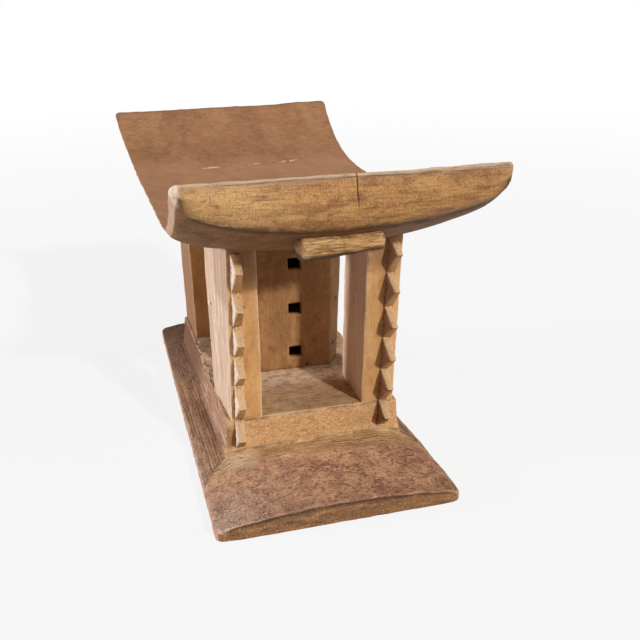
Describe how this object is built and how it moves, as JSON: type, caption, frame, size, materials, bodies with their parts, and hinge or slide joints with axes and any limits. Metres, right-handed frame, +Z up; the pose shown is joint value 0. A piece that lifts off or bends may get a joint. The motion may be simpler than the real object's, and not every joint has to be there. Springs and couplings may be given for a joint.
{
  "type": "ashanti stool",
  "caption": "Free-standing carved wooden stool: long concave seat with grip lugs, on toothed corner posts and a hollow pierced centre column, over a plinth and a crowned base.",
  "frame": {"origin": "middle of the base slab's underside, on the floor", "axes": "+X along the stool's length, from its left end to its right end; -Y is the front long side; +Z up"},
  "size_m": [0.59, 0.316, 0.36],
  "materials": {
    "seat_wood": "worn satin, reddish brown from use",
    "lug_wood": "bare, cracked along the grain",
    "post_wood": "bare, tool-cut",
    "column_wood": "bare, tool-cut",
    "plinth_wood": "bare, tool-cut",
    "base_wood": "weathered, dry"
  },
  "bodies": {
    "root": {"seat": "seat_wood", "lug_left": "lug_wood", "lug_right": "lug_wood", "post_left_front": "post_wood", "post_left_back": "post_wood", "post_right_front": "post_wood", "post_right_back": "post_wood", "centre_column": "column_wood", "plinth": "plinth_wood", "base": "base_wood"}
  },
  "joints": []
}
